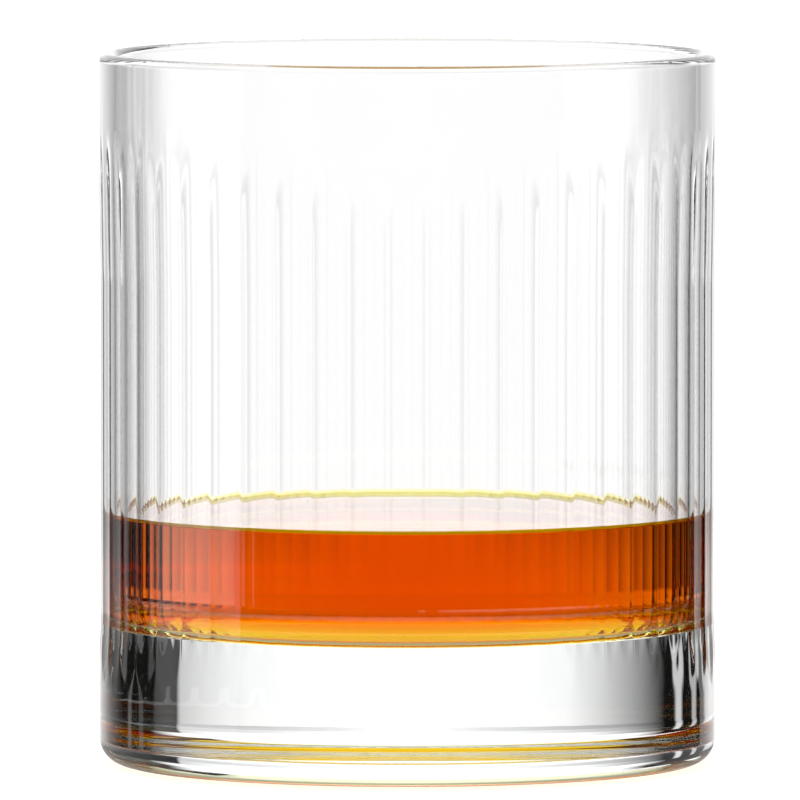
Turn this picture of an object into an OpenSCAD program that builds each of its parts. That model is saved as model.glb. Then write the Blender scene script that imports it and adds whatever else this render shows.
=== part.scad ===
// Straight-sided, heavy-based whiskey tumbler with a fluted wall, and the pour inside it.
// Units are millimetres. +Z is up and the origin is the centre of the base, where the
// glass rests. One flute faces -Y, which is the front.

/* [Glass] */
// Outside diameter of the plain band at the rim
glass_d = 84; // [72:1:100]
// Height from the table to the top of the rim
glass_h = 97; // [80:1:120]
// Thickness of the wall at the rim
wall_t = 2.3; // [1.8:0.1:3.5]
// Thickness of the solid glass under the pour
floor_t = 18.5; // [12:0.5:26]

/* [Rounded edges] */
// Radius of the outside edge where the wall meets the base
heel_r = 3.5; // [2:0.5:7]
// Radius of the inside corner where the wall meets the floor
floor_corner_r = 5.5; // [2:0.5:9]

/* [Underside] */
// Diameter of the shallow hollow under the base
punt_d = 64; // [40:1:68]
// Depth of that hollow at its centre
punt_depth = 0.8; // [0.4:0.1:1.5]

/* [Flutes] */
// Number of flutes around the wall
flute_count = 50; // [40:2:60]
// Depth of a flute's valley below the plain band
flute_depth = 0.38; // [0.3:0.02:0.6]
// Drop of the ridge between two flutes below the plain band
ridge_drop = 0.22; // [0.1:0.01:0.25]
// Height of the plain band between the rim and the flutes
plain_band_h = 16.5; // [8:0.5:25]
// Height of the flutes' lower ends above the table
flute_bottom_z = 13.5; // [8:0.5:16]

/* [Pour] */
// Depth of the whiskey above the glass floor
pour_depth = 15.5; // [10:0.5:30]
// Height that the whiskey climbs the wall at its edge
meniscus_h = 0.6; // [0.4:0.1:1.2]
// Radius of the curve that the climbing edge follows
meniscus_r = 1.5; // [1.3:0.1:2.5]

/* [Hidden] */

glass_r = glass_d / 2;
bore_r = glass_r - wall_t;
lip_r = wall_t / 2;
pour_top_z = floor_t + pour_depth;
punt_r = punt_d / 2;
punt_sphere_r = (punt_r * punt_r + punt_depth * punt_depth) / (2 * punt_depth);

// A flute is the hollow that an upright round bar leaves in the wall. Its radius is the
// one that makes neighbouring flutes meet in a ridge at ridge_r.
half_pitch = 180 / flute_count;
valley_r = glass_r - flute_depth;
ridge_r = glass_r - ridge_drop;
ridge_chord = ridge_r * cos(half_pitch);
flute_r = (valley_r * valley_r + ridge_r * ridge_r - 2 * valley_r * ridge_chord)
    / (2 * (ridge_chord - valley_r));
flute_axis_r = valley_r + flute_r;
flute_h = glass_h - plain_band_h - flute_bottom_z;

// The edge of the pour is a quarter-round fillet, cut off where it has climbed meniscus_h.
meniscus_reach = sqrt(meniscus_r * meniscus_r - pow(meniscus_r - meniscus_h, 2));

glass_colour = [0.93, 0.95, 0.95, 0.35];
whiskey_colour = [0.93, 0.32, 0.02, 0.75];

// Outline of half the solid blank: a block with its lower edge rounded
module blank_half() {
    difference() {
        square([glass_r, glass_h - lip_r]);
        translate([glass_r - heel_r, 0])
            difference() {
                square(heel_r);
                translate([0, heel_r]) circle(heel_r, $fn = 96);
            }
    }
    translate([glass_r - lip_r, glass_h - lip_r]) circle(lip_r, $fn = 64);
}

// Outline of half the cup's hollow from its floor up to height top_z
module hollow_half(top_z) {
    difference() {
        translate([0, floor_t]) square([bore_r, top_z - floor_t]);
        translate([bore_r - floor_corner_r, floor_t])
            difference() {
                square(floor_corner_r);
                translate([0, floor_corner_r]) circle(floor_corner_r, $fn = 96);
            }
    }
}

// The fluted wall's outline from above: the plain round with a round bar's hollow at
// every flute
module fluted_round() {
    difference() {
        circle(glass_r, $fn = 360);
        for (i = [0 : flute_count - 1])
            rotate(i * 2 * half_pitch - 90)
                translate([flute_axis_r, 0]) circle(flute_r, $fn = 180);
    }
}

// The glass that the flutes take away: a ring with the fluted outline on its inside
module flute_waste() {
    translate([0, 0, flute_bottom_z])
        linear_extrude(flute_h)
            difference() {
                circle(glass_r + 1, $fn = 360);
                fluted_round();
            }
}

// The glass: one piece, from the rounded rim to the hollowed underside
module tumbler_glass() {
    color(glass_colour)
        difference() {
            rotate_extrude($fn = 360)
                difference() {
                    blank_half();
                    hollow_half(glass_h - lip_r);
                }
            translate([0, 0, punt_depth - punt_sphere_r]) sphere(punt_sphere_r, $fn = 360);
            flute_waste();
        }
}

// The whiskey: it fills the hollow to the pour's level and climbs the wall a little
module whiskey() {
    color(whiskey_colour)
        rotate_extrude($fn = 360)
            difference() {
                hollow_half(pour_top_z + meniscus_h);
                translate([0, pour_top_z]) square([bore_r - meniscus_reach, 2 * meniscus_h]);
                translate([bore_r - meniscus_reach, pour_top_z + meniscus_r])
                    circle(meniscus_r, $fn = 96);
            }
}

tumbler_glass();
whiskey();
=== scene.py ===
import math

import bmesh
import bpy
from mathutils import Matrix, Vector


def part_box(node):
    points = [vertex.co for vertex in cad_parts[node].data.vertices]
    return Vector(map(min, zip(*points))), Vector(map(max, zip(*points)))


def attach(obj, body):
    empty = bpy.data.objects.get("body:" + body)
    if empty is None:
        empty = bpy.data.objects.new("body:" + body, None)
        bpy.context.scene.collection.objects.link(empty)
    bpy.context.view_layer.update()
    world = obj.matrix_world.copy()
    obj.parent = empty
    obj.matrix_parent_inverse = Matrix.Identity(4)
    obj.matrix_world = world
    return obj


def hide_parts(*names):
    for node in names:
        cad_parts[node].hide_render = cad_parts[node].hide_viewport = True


MM = 0.001

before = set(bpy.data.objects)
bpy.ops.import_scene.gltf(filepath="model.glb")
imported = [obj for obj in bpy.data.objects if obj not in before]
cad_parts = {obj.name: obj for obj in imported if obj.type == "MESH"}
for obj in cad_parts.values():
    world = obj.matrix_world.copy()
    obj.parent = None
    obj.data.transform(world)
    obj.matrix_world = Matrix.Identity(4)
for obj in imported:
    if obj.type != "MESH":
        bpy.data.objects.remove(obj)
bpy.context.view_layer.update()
_, glass_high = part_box("tumbler_glass")
pour_low, pour_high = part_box("whiskey")

# The glass, in millimetres. Its outside, its bore and its floor are the CAD's own.
OUTER_R = glass_high[0] / MM
HEIGHT = glass_high[2] / MM
BORE_R = pour_high[0] / MM
FLOOR = pour_low[2] / MM
WALL = OUTER_R - BORE_R
LIP_R = WALL / 2
HEEL_R = 3.5
FLOOR_CORNER_R = 5.5
PUNT_R = 32.0
PUNT_DEPTH = 0.8

# The flutes: how deep the wheel goes at mid height, and where it enters and leaves the wall.
# A flute deepens over the run-out above its foot and grows shallow over the run-in below its
# head.
FLUTE_COUNT = 50
FLUTE_DEPTH = 0.38
RIDGE_DROP = 0.22
FLUTE_FOOT = 11.5
FLUTE_RUN_OUT = 9.0
FLUTE_RUN_IN = 20.0
FLUTE_HEAD = 86.0
FLUTE_EDGE_SOFTNESS = 0.02
# The wall is made in finer rows from this far outside each end of the flutes
FLUTE_MARGIN = 1.0
# The rows of the wall over the flutes' lower and upper ends
FOOT_ROWS = 17
HEAD_ROWS = 19
STEPS_PER_FLUTE = 16

# The pour
MENISCUS_H = 0.6
MENISCUS_R = 1.5
POUR_STEPS = 400
POUR_TOP = pour_high[2] / MM - MENISCUS_H
# The pour's skin lies this far inside the glass, so that no film of air shows between them
WETTED = 0.1

# The glowing disc under and round the glass, whose glow is painted shade: its reach, the
# reach of its darkest part, its height and its level in that part
PAD_R = 58.0
PAD_DARK_R = 46.0
PAD_Z = -0.25
PAD_LEVEL = 0.4
PAD_STEPS = 96

# The white table top: half its side in metres, its height, its grey and its own glow
TABLE_HALF = 8.0
TABLE_Z = -0.3
TABLE_GREY = (0.5, 0.5, 0.5, 1)
TABLE_GLOW = 0.8

# Stretches of an outline longer than this get a point this close to each of their ends
GUARDED_LENGTH = 2.0
GUARD = 0.03
# Edges that turn by more than this stay sharp
SHARP_DEG = 35.0

GLASS_IOR = 1.52
WHISKEY_IOR = 1.36
# What each body lets through, and how strongly it takes the rest away
CRYSTAL_TINT = (0.90, 0.96, 0.93, 1)
CRYSTAL_DENSITY = 3.0
WHISKEY_TINT = (0.9978, 0.976, 0.0, 1)
WHISKEY_DENSITY = 1400.0

# The camera's distance in front of the glass in metres; the width that it sees, the height
# that it looks from, the height that it looks at and its shift to the left, in millimetres
CAMERA_DISTANCE = 2.3
WIDTH_SEEN = 109.1
CAMERA_Z = 204.6
AIM_Z = 49.5
SHIFT_X = -1.0
SENSOR_WIDTH = 36.0


# ---------------------------------------------------------------- outlines

def arc(centre_r, centre_z, radius, start_deg, end_deg, steps):
    """Points on an arc in the (radius, height) plane, both ends included."""
    points = []
    for i in range(steps + 1):
        a = math.radians(start_deg + (end_deg - start_deg) * i / steps)
        points.append((centre_r + radius * math.cos(a), centre_z + radius * math.sin(a)))
    return points


def rise(radius, start_z, end_z, steps):
    """Points up or down an upright stretch of wall, the start left out."""
    return [(radius, start_z + (end_z - start_z) * i / steps) for i in range(1, steps + 1)]


def glass_outline():
    """Half the glass in section, from the middle of its underside round to the middle of its
    floor."""
    foot_low = FLUTE_FOOT - FLUTE_MARGIN
    foot_high = FLUTE_FOOT + FLUTE_RUN_OUT + FLUTE_MARGIN
    head_low = FLUTE_HEAD - FLUTE_RUN_IN - FLUTE_MARGIN
    head_high = FLUTE_HEAD + FLUTE_MARGIN
    corner_r = FLOOR_CORNER_R
    points = []
    for i in range(6):
        r = PUNT_R * i / 6
        points.append((r, PUNT_DEPTH * (1 - (r / PUNT_R) ** 2)))
    points.append((PUNT_R, 0.0))
    points += arc(OUTER_R - HEEL_R, HEEL_R, HEEL_R, -90, 0, 9)
    points += rise(OUTER_R, HEEL_R, foot_low, 2)
    points += rise(OUTER_R, foot_low, foot_high, FOOT_ROWS)
    points += rise(OUTER_R, foot_high, head_low, 3)
    points += rise(OUTER_R, head_low, head_high, HEAD_ROWS)
    points += rise(OUTER_R, head_high, HEIGHT - LIP_R, 2)
    points += arc(OUTER_R - LIP_R, HEIGHT - LIP_R, LIP_R, 0, 180, 12)[1:]
    points += rise(BORE_R, HEIGHT - LIP_R, FLOOR + corner_r, 3)
    points += arc(BORE_R - corner_r, FLOOR + corner_r, corner_r, 0, -90, 10)[1:]
    points += [(BORE_R * 0.5, FLOOR), (0.0, FLOOR)]
    return points


def pour_outline():
    """Half the pour in section, from the middle of its underside round to the middle of its
    top."""
    corner_r = FLOOR_CORNER_R
    wet_r = BORE_R + WETTED
    wet_floor = FLOOR - WETTED
    reach = math.sqrt(MENISCUS_R ** 2 - (MENISCUS_R - MENISCUS_H) ** 2)
    climb_deg = math.degrees(math.asin(reach / MENISCUS_R))
    points = [(0.0, wet_floor), (BORE_R * 0.5, wet_floor)]
    points += arc(wet_r - corner_r, wet_floor + corner_r, corner_r, -90, 0, 12)
    points += rise(wet_r, wet_floor + corner_r, POUR_TOP + MENISCUS_H, 3)
    points += arc(BORE_R - reach, POUR_TOP + MENISCUS_R, MENISCUS_R, climb_deg - 90, -90, 10)
    points += [(BORE_R * 0.8, POUR_TOP), (BORE_R * 0.4, POUR_TOP), (0.0, POUR_TOP)]
    return points


# ---------------------------------------------------------------- pieces

def guarded(outline):
    """The outline with a point close to each end of its long stretches, so that smooth shading
    keeps them straight right up to the curve that they run into."""
    points = [outline[0]]
    for (r0, z0), (r1, z1) in zip(outline, outline[1:]):
        length = math.hypot(r1 - r0, z1 - z0)
        if length > GUARDED_LENGTH:
            for t in (GUARD / length, 1 - GUARD / length):
                points.append((r0 + (r1 - r0) * t, z0 + (z1 - z0) * t))
        points.append((r1, z1))
    return points


def turned(outline, steps):
    """The closed solid that an outline sweeps when it is turned once about the glass's axis."""
    outline = guarded(outline)
    bm = bmesh.new()
    verts = [bm.verts.new((r * MM, 0.0, z * MM)) for r, z in outline]
    edges = [bm.edges.new(pair) for pair in zip(verts, verts[1:])]
    bmesh.ops.spin(
        bm,
        geom=verts + edges,
        cent=(0, 0, 0),
        axis=(0, 0, 1),
        angle=2 * math.pi,
        steps=steps,
        use_merge=True,
    )
    bmesh.ops.remove_doubles(bm, verts=bm.verts, dist=0.001 * MM)
    bmesh.ops.recalc_face_normals(bm, faces=bm.faces)
    return bm


def softened(depth):
    """A cut's depth with its edge eased, as fire polishing leaves it, and never below nothing.
    Far inside the cut the easing is too small to work out, and the depth is kept as it is."""
    t = depth / FLUTE_EDGE_SOFTNESS
    return depth if t > 30 else FLUTE_EDGE_SOFTNESS * math.log1p(math.exp(t))


def flute_cut(angle, z):
    """How far the wheels have cut into the wall at an angle about the axis and a height.
    Across a flute the depth follows a plain round hollow."""
    pitch = 2 * math.pi / FLUTE_COUNT
    across = 2 * (((angle + math.pi / 2) / pitch + 0.5) % 1.0 - 0.5)
    rise_in = (z - FLUTE_FOOT) / FLUTE_RUN_OUT
    fall_out = (FLUTE_HEAD - z) / FLUTE_RUN_IN
    wheel_depth = FLUTE_DEPTH * min(1.0, rise_in, fall_out)
    return softened(wheel_depth - (FLUTE_DEPTH - RIDGE_DROP) * across ** 2)


def cut_flutes(bm):
    """Moves the outside of the wall in, to the bottom of each flute."""
    for v in bm.verts:
        r = math.hypot(v.co.x, v.co.y) / MM
        z = v.co.z / MM
        near_flutes = FLUTE_FOOT - 2 * FLUTE_MARGIN < z < FLUTE_HEAD + 2 * FLUTE_MARGIN
        if r > OUTER_R - 0.01 and near_flutes:
            factor = (r - flute_cut(math.atan2(v.co.y, v.co.x), z)) / r
            v.co.x *= factor
            v.co.y *= factor


def placed(bm, name, material):
    """An object in the scene, made from the mesh that has been built."""
    mesh = bpy.data.meshes.new(name)
    bm.to_mesh(mesh)
    bm.free()
    mesh.materials.append(material)
    thing = bpy.data.objects.new(name, mesh)
    bpy.context.scene.collection.objects.link(thing)
    return thing


def finished(bm, name, material):
    """A piece shaded smooth, with its sharp turns kept, that rides on the glass's only body."""
    for edge in bm.edges:
        edge.smooth = edge.calc_face_angle(0.0) < math.radians(SHARP_DEG)
    piece = placed(bm, name, material)
    polygons = piece.data.polygons
    polygons.foreach_set("use_smooth", [True] * len(polygons))
    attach(piece, "root")
    return piece


def fluted_glass():
    bm = turned(glass_outline(), FLUTE_COUNT * STEPS_PER_FLUTE)
    cut_flutes(bm)
    piece = finished(bm, "fluted_glass", crystal())
    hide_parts("tumbler_glass")


def pour():
    bm = turned(pour_outline(), POUR_STEPS)
    piece = finished(bm, "whiskey_pour", amber_whiskey())
    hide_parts("whiskey")


# ---------------------------------------------------------------- materials

def clear_material(name, ior, absorb_colour, absorb_density):
    """A clear refracting body that tints light by the distance it travels inside."""
    material = bpy.data.materials.new(name)
    material.use_nodes = True
    nodes, links = material.node_tree.nodes, material.node_tree.links
    nodes.clear()
    output = nodes.new("ShaderNodeOutputMaterial")
    surface = nodes.new("ShaderNodeBsdfPrincipled")
    surface.inputs["Base Color"].default_value = (1, 1, 1, 1)
    surface.inputs["Roughness"].default_value = 0.0
    surface.inputs["Transmission Weight"].default_value = 1.0
    surface.inputs["IOR"].default_value = ior
    inside = nodes.new("ShaderNodeVolumeAbsorption")
    inside.inputs["Color"].default_value = absorb_colour
    inside.inputs["Density"].default_value = absorb_density
    links.new(surface.outputs[0], output.inputs["Surface"])
    links.new(inside.outputs[0], output.inputs["Volume"])
    return material, surface


def add_waviness(material, surface, scale, depth, stretch):
    """A slow swell in the surface, seen only in how it bends what lies behind."""
    nodes, links = material.node_tree.nodes, material.node_tree.links
    where = nodes.new("ShaderNodeTexCoord")
    mapping = nodes.new("ShaderNodeMapping")
    mapping.inputs["Scale"].default_value = stretch
    noise = nodes.new("ShaderNodeTexNoise")
    noise.inputs["Scale"].default_value = scale
    noise.inputs["Detail"].default_value = 1.5
    bump = nodes.new("ShaderNodeBump")
    bump.inputs["Strength"].default_value = 1.0
    bump.inputs["Distance"].default_value = depth
    links.new(where.outputs["Object"], mapping.inputs["Vector"])
    links.new(mapping.outputs[0], noise.inputs["Vector"])
    links.new(noise.outputs["Fac"], bump.inputs["Height"])
    links.new(bump.outputs[0], surface.inputs["Normal"])


def crystal():
    """Clear crystal with a faint grey-green body and the slow ripple of hand-finished glass."""
    material, surface = clear_material(
        "clear_crystal", GLASS_IOR, CRYSTAL_TINT, CRYSTAL_DENSITY)
    add_waviness(material, surface, scale=90.0, depth=0.012 * MM, stretch=(1.0, 1.0, 0.35))
    return material


def amber_whiskey():
    """Aged whiskey: pale gold where it is thin, orange-red through the full width."""
    material, surface = clear_material(
        "amber_whiskey", WHISKEY_IOR, WHISKEY_TINT, WHISKEY_DENSITY)
    add_waviness(material, surface, scale=40.0, depth=0.01 * MM, stretch=(1.0, 1.0, 1.0))
    return material


# ---------------------------------------------------------------- studio

# The light round the set, ring by ring, as (azimuth in degrees, level). Azimuth 0 is straight
# behind the glass and 90 is to its right. Each ring has a white panel behind the glass as the
# glass is seen from that height, with black at the panel's sides that draws the glass's edges.
WALL_RING = [
    (-114, 0.0), (-112, 0.6), (-102, 1.0), (-78, 1.0), (-71, 0.6), (-69, 0.0),
    (-63, 0.0), (-62, 0.5), (-60, 0.5), (-59, 0.0), (-54, 0.0), (-53, 0.6), (-51, 0.6),
    (-50, 0.0), (-46, 0.0), (-33, 0.35), (-20, 0.6), (-10, 0.78), (-3, 1.0), (3, 1.0),
    (10, 0.78), (20, 0.6), (36.5, 0.45), (37.5, 0.0),
]
LEVEL_RING = [
    (-114, 0.0), (-112, 0.6), (-102, 1.0), (-78, 1.0), (-71, 0.6), (-69, 0.0),
    (-63, 0.0), (-62, 0.5), (-60, 0.5), (-59, 0.0), (-54, 0.0), (-53, 0.6), (-51, 0.6),
    (-50, 0.0), (-46, 0.0), (-33, 0.45), (-22, 0.9), (-10, 1.0), (10, 1.0),
    (22, 0.9), (36.5, 0.5), (37.5, 0.0),
]
LOW_RING = [
    (-48, 0.0), (-38, 0.9), (38, 0.9), (48, 0.0),
    (98, 0.0), (99.5, 0.55), (115, 1.0), (155, 1.0), (170.5, 0.55), (172, 0.0),
]
HIGH_RING = [
    (-82, 0.0), (-80.5, 0.55), (-65, 1.0), (25, 1.0), (31.5, 0.55), (33, 0.0),
]
CEILING = 0.75
# Heights above and below the horizon, in degrees, over which one ring gives way to the next
WALL_TO_LEVEL = (4.2, 4.5)
LEVEL_TO_LOW = (9.0, 11.0)
LOW_TO_HIGH = (18.5, 20.5)
HIGH_TO_CEILING = (35.0, 38.0)
PANEL_STRENGTH = 1.17
# The panels are this much brighter above the horizon, where only reflections see them
UPPER_LIFT = 0.35
ROOM = 0.006


class NodeMaths:
    """Short calls for the sums in the world's node tree."""

    def __init__(self, tree):
        self.nodes, self.links = tree.nodes, tree.links

    def maths(self, operation, *values):
        node = self.nodes.new("ShaderNodeMath")
        node.operation = operation
        for socket, value in zip(node.inputs, values):
            if isinstance(value, (int, float)):
                socket.default_value = value
            else:
                self.links.new(value, socket)
        return node.outputs[0]

    def levels(self, value, places):
        """The level at a value, from a list of (value, level)."""
        first, last = places[0][0], places[-1][0]
        value = self.maths("DIVIDE", self.maths("SUBTRACT", value, first), last - first)
        node = self.nodes.new("ShaderNodeValToRGB")
        ramp = node.color_ramp
        ramp.interpolation = "LINEAR"
        while len(ramp.elements) < len(places):
            ramp.elements.new(1.0)
        for element, (place, level) in zip(ramp.elements, places):
            element.position = (place - first) / (last - first)
            element.color = (level, level, level, 1)
        self.links.new(value, node.inputs["Fac"])
        return node.outputs["Color"]

    def ring(self, azimuth, stops):
        """The light all round the glass, from a list of (azimuth in degrees, level)."""
        return self.levels(azimuth, [(math.radians(degrees), level) for degrees, level in stops])

    def change(self, height, band, below, above):
        """One light below a band of heights and another above it, eased in between."""
        ease = self.nodes.new("ShaderNodeMapRange")
        ease.interpolation_type = "SMOOTHSTEP"
        self.links.new(height, ease.inputs["Value"])
        ease.inputs["From Min"].default_value = math.sin(math.radians(band[0]))
        ease.inputs["From Max"].default_value = math.sin(math.radians(band[1]))
        more = self.maths("MULTIPLY", ease.outputs[0], above)
        less = self.maths("MULTIPLY", self.maths("SUBTRACT", 1.0, ease.outputs[0]), below)
        return self.maths("ADD", more, less)


def studio_light():
    """White panels behind the glass in a dark room, and a pale backdrop for the camera."""
    world = bpy.data.worlds.new("studio")
    bpy.context.scene.world = world
    world.use_nodes = True
    tree = world.node_tree
    tree.nodes.clear()
    sums = NodeMaths(tree)
    where = tree.nodes.new("ShaderNodeTexCoord")
    split = tree.nodes.new("ShaderNodeSeparateXYZ")
    tree.links.new(where.outputs["Generated"], split.inputs[0])
    x, y, z = split.outputs[0], split.outputs[1], split.outputs[2]
    azimuth = sums.maths("ARCTAN2", x, y)
    height = sums.maths("ABSOLUTE", z)
    wall = sums.ring(azimuth, WALL_RING)
    light = sums.change(height, WALL_TO_LEVEL, wall, sums.ring(azimuth, LEVEL_RING))
    light = sums.change(height, LEVEL_TO_LOW, light, sums.ring(azimuth, LOW_RING))
    light = sums.change(height, LOW_TO_HIGH, light, sums.ring(azimuth, HIGH_RING))
    light = sums.change(height, HIGH_TO_CEILING, light, CEILING)
    upper = sums.maths("GREATER_THAN", z, 0.0)
    strength = sums.maths("MULTIPLY_ADD", upper, UPPER_LIFT, PANEL_STRENGTH)
    light = sums.maths("MULTIPLY_ADD", light, strength, ROOM)
    seen = tree.nodes.new("ShaderNodeLightPath")
    light = sums.maths("MAXIMUM", light, seen.outputs["Is Camera Ray"])
    background = tree.nodes.new("ShaderNodeBackground")
    background.inputs["Color"].default_value = (1, 1, 1, 1)
    tree.links.new(light, background.inputs["Strength"])
    output = tree.nodes.new("ShaderNodeOutputWorld")
    tree.links.new(background.outputs[0], output.inputs["Surface"])


def shade_under_glass():
    """Painted shade: a glowing disc on the table close to the glass, its glow darker under the
    glass as if the glass kept the light from it. Only light that has passed through the glass
    meets it."""
    bm = bmesh.new()
    bmesh.ops.create_circle(bm, cap_ends=True, segments=PAD_STEPS, radius=PAD_R * MM)
    bmesh.ops.translate(bm, verts=bm.verts, vec=(0, 0, PAD_Z * MM))
    material = bpy.data.materials.new("painted_shade_table")
    material.use_nodes = True
    nodes, links = material.node_tree.nodes, material.node_tree.links
    nodes.clear()
    where = nodes.new("ShaderNodeTexCoord")
    out = nodes.new("ShaderNodeVectorMath")
    out.operation = "LENGTH"
    # Painted shade: the glow falls from full at the disc's edge to PAD_LEVEL within PAD_DARK_R
    # of the middle
    fade = nodes.new("ShaderNodeMapRange")
    fade.interpolation_type = "SMOOTHSTEP"
    fade.inputs["From Min"].default_value = PAD_DARK_R * MM
    fade.inputs["From Max"].default_value = PAD_R * MM
    fade.inputs["To Min"].default_value = PAD_LEVEL
    fade.inputs["To Max"].default_value = 1.0
    glow = nodes.new("ShaderNodeEmission")
    output = nodes.new("ShaderNodeOutputMaterial")
    links.new(where.outputs["Object"], out.inputs[0])
    links.new(out.outputs["Value"], fade.inputs["Value"])
    links.new(fade.outputs[0], glow.inputs["Strength"])
    links.new(glow.outputs[0], output.inputs["Surface"])
    pad = placed(bm, "shade", material)
    pad.visible_camera = False
    pad.visible_diffuse = False
    pad.visible_shadow = False


def pale_floor():
    """A wide white table top. It glows, so that it reads as one white with the backdrop."""
    bm = bmesh.new()
    bmesh.ops.create_grid(bm, x_segments=1, y_segments=1, size=TABLE_HALF)
    bmesh.ops.translate(bm, verts=bm.verts, vec=(0, 0, TABLE_Z * MM))
    material = bpy.data.materials.new("white_table")
    material.use_nodes = True
    surface = material.node_tree.nodes["Principled BSDF"]
    surface.inputs["Base Color"].default_value = TABLE_GREY
    surface.inputs["Roughness"].default_value = 1.0
    surface.inputs["Specular IOR Level"].default_value = 0.0
    surface.inputs["Emission Color"].default_value = (1, 1, 1, 1)
    surface.inputs["Emission Strength"].default_value = TABLE_GLOW
    floor = placed(bm, "floor", material)
    floor.visible_transmission = False
    floor.visible_glossy = False


def camera():
    """A long lens from the front, looking down a little from above the rim."""
    aim = Vector((SHIFT_X * MM, 0.0, AIM_Z * MM))
    place = Vector((SHIFT_X * MM, -CAMERA_DISTANCE, CAMERA_Z * MM))
    data = bpy.data.cameras.new("camera")
    data.sensor_width = SENSOR_WIDTH
    data.lens = data.sensor_width * (place - aim).length / (WIDTH_SEEN * MM)
    data.clip_start = 0.05
    data.clip_end = 30.0
    lens = bpy.data.objects.new("camera", data)
    lens.location = place
    lens.rotation_euler = (aim - place).to_track_quat("-Z", "Y").to_euler()
    bpy.context.scene.collection.objects.link(lens)
    bpy.context.scene.camera = lens


def render_manners():
    """True whites, and enough bounces for light to cross every wall of the glass."""
    scene = bpy.context.scene
    scene.view_settings.view_transform = "Standard"
    scene.cycles.max_bounces = 48
    scene.cycles.transmission_bounces = 48
    scene.cycles.glossy_bounces = 16
    scene.cycles.volume_bounces = 2
    scene.cycles.transparent_max_bounces = 16
    scene.cycles.caustics_reflective = True
    scene.cycles.caustics_refractive = True
    scene.cycles.blur_glossy = 0.0


fluted_glass()
pour()
pale_floor()
shade_under_glass()
studio_light()
camera()
render_manners()
